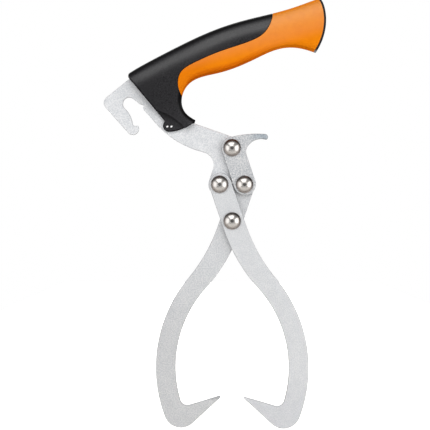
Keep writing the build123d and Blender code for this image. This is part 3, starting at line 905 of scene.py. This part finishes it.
def floor_material(studio):
    """A pale floor that shows white, with the shadow left on it, and isn't seen from below."""
    material, tree, surface = new_material("pale_floor")
    surface["Base Color"].default_value = opaque(studio.floor)
    surface["Roughness"].default_value = studio.floor_roughness
    surface["Specular IOR Level"].default_value = 0.0
    surface["Emission Color"].default_value = WHITE
    straight, mirrored = background_rays(tree)
    place = object_place(tree)
    depth = put(tree, "ShaderNodeSeparateXYZ", Vector=place).outputs["Y"]
    far = spread(tree, depth, FLOOR_BACK_REACH)
    plan = vectors(tree, "MULTIPLY", place, (1, 1, 0))["Vector"]
    away = vectors(tree, "LENGTH", plan)["Value"]
    lift = spread(tree, away, FLOOR_WHITE_REACH, studio.floor_lift, 1.0)
    shine = product(tree, mirrored, larger(tree, far, studio.floor_shine))
    feed(tree, surface["Emission Strength"], larger(tree, product(tree, straight, lift), shine))
    below = tree.nodes.new("ShaderNodeNewGeometry").outputs["Backfacing"]
    feed(tree, surface["Alpha"], inverse(tree, product(tree, straight, below)))
    return material


class TONGS_OT_stage(bpy.types.Operator):
    """Sets up the light tent, the floor and the camera"""

    bl_idname = "tongs.stage"
    bl_label = "Stage"

    def execute(self, context):
        studio = settings(context).studio
        self.light_tent(studio)
        self.background(context.scene, studio)
        self.lay_floor(studio)
        self.set_camera(context.scene, studio)
        context.scene.view_settings.view_transform = "Standard"
        return {"FINISHED"}

    def light_tent(self, studio):
        """Three walls in front of the object, three behind it, and a ceiling left out of mirrors."""
        low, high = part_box("left_rivet")
        rivets = (low.z + high.z) / 2
        side_size = (studio.side_far - studio.side_near, studio.side_high + studio.side_low)
        side_depth = -(studio.side_far + studio.side_near) / 2
        side_height = rivets + (studio.side_high - studio.side_low) / 2
        for side, way, brightness in (("left", -1, studio.left), ("right", 1, studio.right)):
            place = Vector((way * studio.wall, side_depth, side_height))
            inward = (-way, 0, 0)
            panel_light(side + "_wall", place, inward, side_size, brightness)
            place.y = -side_depth
            panel_light(side + "_back_wall", place, inward, side_size, studio.back)
        top_size = (studio.top_left + studio.top_right, studio.top_far - studio.top_near)
        top_middle = (studio.top_right - studio.top_left) / 2
        top_depth = -(studio.top_far + studio.top_near) / 2
        place = Vector((top_middle, top_depth, rivets + studio.top_height))
        panel_light("top_wall", place, DOWN, top_size, studio.top)
        place.y = -top_depth
        panel_light("top_back_wall", place, DOWN, top_size, studio.back)
        ceiling_size = (studio.ceiling_width, studio.ceiling_depth)
        ceiling_place = UP * studio.ceiling_height
        ceiling = panel_light("ceiling", ceiling_place, DOWN, ceiling_size, studio.ceiling)
        ceiling.visible_glossy = False

    def background(self, scene, studio):
        """White behind the object, and a grey room elsewhere."""
        world = bpy.data.worlds.new("studio")
        scene.world = world
        world.use_nodes = True
        tree = world.node_tree
        towards = tree.nodes.new("ShaderNodeTexCoord").outputs["Generated"]
        depth = put(tree, "ShaderNodeSeparateXYZ", Vector=towards).outputs["Y"]
        room = opaque([studio.room] * 3)
        parts = ((TENT_VIEW, studio.tent), (FRONT_VIEW, studio.front), (LENS_VIEW, studio.lens))
        for view, brightness in parts:
            room = blend(tree, spread(tree, depth, view, 1.0, 0.0), room, opaque([brightness] * 3))
        straight, mirrored = background_rays(tree)
        backdrop = product(tree, mirrored, spread(tree, depth, BACKDROP_VIEW))
        seen = blend(tree, larger(tree, straight, backdrop), room, WHITE)
        feed(tree, tree.nodes["Background"].inputs["Color"], seen)

    def lay_floor(self, studio):
        """A flat floor just under the claws."""
        mesh = bmesh.new()
        bmesh.ops.create_grid(mesh, x_segments=1, y_segments=1, size=0.5)
        run = studio.floor_front + studio.floor_back
        middle = (studio.floor_back - studio.floor_front) / 2
        height = CAD_BOX[0].z - studio.floor_gap
        bmesh.ops.scale(mesh, verts=mesh.verts[:], vec=(2 * studio.floor_side, run, 1))
        bmesh.ops.translate(mesh, verts=mesh.verts[:], vec=(0, middle, height))
        material = floor_material(studio)
        new_piece("floor", mesh, material)

    def set_camera(self, scene, studio):
        """A camera straight in front of the object."""
        data = bpy.data.cameras.new("camera")
        data.sensor_width = SENSOR_WIDTH
        data.lens = SENSOR_WIDTH * studio.distance / studio.width
        camera = bpy.data.objects.new("camera", data)
        camera.location = Vector(studio.aim) - AWAY * studio.distance
        camera.rotation_mode = "QUATERNION"
        camera.rotation_quaternion = AWAY.to_track_quat("-Z", "Y")
        scene.collection.objects.link(camera)
        scene.camera = camera


STEPS = (
    TONGS_OT_plates,
    TONGS_OT_washers,
    TONGS_OT_handle,
    TONGS_OT_grip,
    TONGS_OT_rivets,
    TONGS_OT_stage,
)


class TONGS_PT_panel(bpy.types.Panel):
    """Lists the pieces of the log tongs"""

    bl_idname = "TONGS_PT_panel"
    bl_label = "Log tongs"
    bl_space_type = "VIEW_3D"
    bl_region_type = "UI"
    bl_category = "Log tongs"

    def draw(self, context):
        for step in STEPS:
            self.layout.operator(step.bl_idname)


CLASSES = (
    SteelFinish,
    NickelFinish,
    ShellFinish,
    GripFinish,
    RivetShape,
    Studio,
    TongsSettings,
    *STEPS,
    TONGS_PT_panel,
)


def register():
    """Registers the classes and the scene's settings."""
    for kind in CLASSES:
        bpy.utils.register_class(kind)
    bpy.types.Scene.log_tongs = PointerProperty(type=TongsSettings)


def unregister():
    """Takes the settings and the classes away again."""
    del bpy.types.Scene.log_tongs
    for kind in reversed(CLASSES):
        bpy.utils.unregister_class(kind)


def main():
    """Builds everything in order."""
    register()
    bpy.ops.tongs.plates()
    bpy.ops.tongs.washers()
    bpy.ops.tongs.handle()
    bpy.ops.tongs.grip()
    bpy.ops.tongs.rivets()
    bpy.ops.tongs.stage()


if __name__ == "__main__":
    main()
